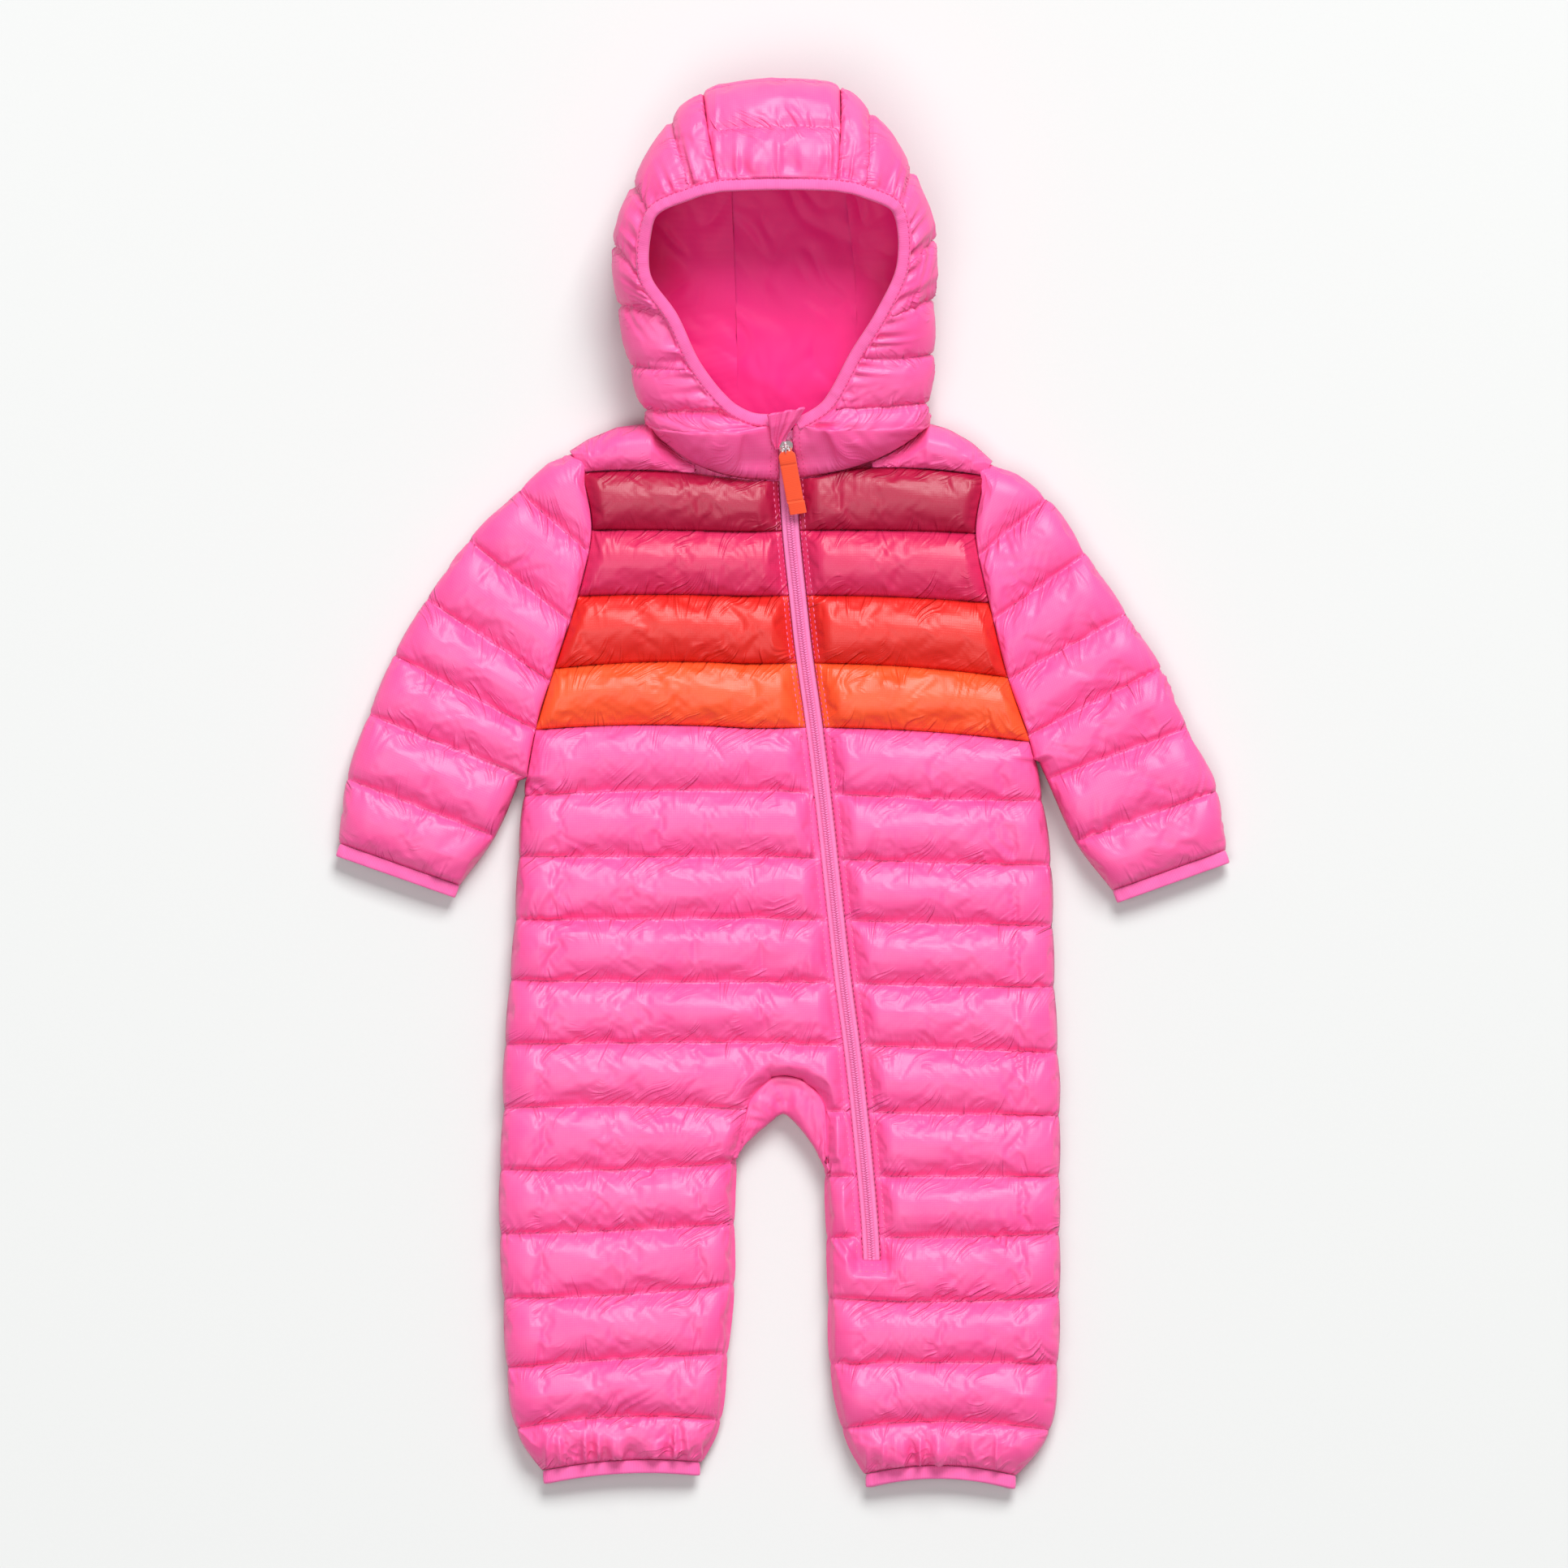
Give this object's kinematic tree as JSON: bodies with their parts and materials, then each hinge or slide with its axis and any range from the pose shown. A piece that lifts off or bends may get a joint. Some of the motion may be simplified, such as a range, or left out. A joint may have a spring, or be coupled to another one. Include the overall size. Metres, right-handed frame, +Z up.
{
  "type": "baby snowsuit",
  "caption": "Padded hooded baby snowsuit with quilted baffles, chest stripes and a slanting front zip, zipped up and laid flat on its back.",
  "frame": {"origin": "on the floor, under the middle of the garment's box", "axes": "+X to the wearer's left, +Y towards the top of the hood, +Z up from the floor that the back lies on"},
  "size_m": [0.5282, 0.8312, 0.0942],
  "materials": {
    "pink_shell": "light ripstop nylon with a soft sheen, quilted over padding",
    "dark_berry_shell": "light ripstop nylon with a soft sheen, quilted over padding",
    "berry_shell": "light ripstop nylon with a soft sheen, quilted over padding",
    "red_shell": "light ripstop nylon with a soft sheen, quilted over padding",
    "orange_shell": "light ripstop nylon with a soft sheen, quilted over padding",
    "pink_lining": "smooth woven taffeta lining",
    "pink_binding": "matt elastic knitted binding",
    "zip_tape": "matt woven zip tape",
    "zip_teeth": "coiled nylon teeth",
    "zip_metal": "nickel-plated die-cast metal",
    "orange_webbing": "matt grosgrain webbing"
  },
  "bodies": {
    "garment": {"ankle_binding_left": "pink_binding", "ankle_binding_right": "pink_binding", "back": "pink_shell", "crotch_gusset": "pink_shell", "cuff_binding_left": "pink_binding", "cuff_binding_right": "pink_binding", "front_lower": "pink_shell", "hood_binding": "pink_binding", "hood_centre": "pink_shell", "hood_lining_centre": "pink_lining", "hood_lining_left": "pink_lining", "hood_lining_right": "pink_lining", "hood_side_left": "pink_shell", "hood_side_right": "pink_shell", "sleeve_left": "pink_shell", "sleeve_right": "pink_shell", "stripe_berry_left": "berry_shell", "stripe_berry_right": "berry_shell", "stripe_dark_berry_left": "dark_berry_shell", "stripe_dark_berry_right": "dark_berry_shell", "stripe_orange_left": "orange_shell", "stripe_orange_right": "orange_shell", "stripe_red_left": "red_shell", "stripe_red_right": "red_shell", "yoke_left": "pink_shell", "yoke_right": "pink_shell", "zip_garage": "pink_shell", "zip_slider": "zip_metal", "zip_tape_left": "zip_tape", "zip_tape_right": "zip_tape", "zip_teeth": "zip_teeth"},
    "zip_pull": {"pull_tab": "zip_metal", "pull_webbing": "orange_webbing"}
  },
  "joints": [
    {"name": "zip_pull_swing", "type": "hinge", "parent": "garment", "child": "zip_pull", "pos_m": [0.00176, 0.19944, 0.03957], "axis": [-0.9857, -0.1533, -0.0705], "range_deg": [0, 130]}
  ]
}
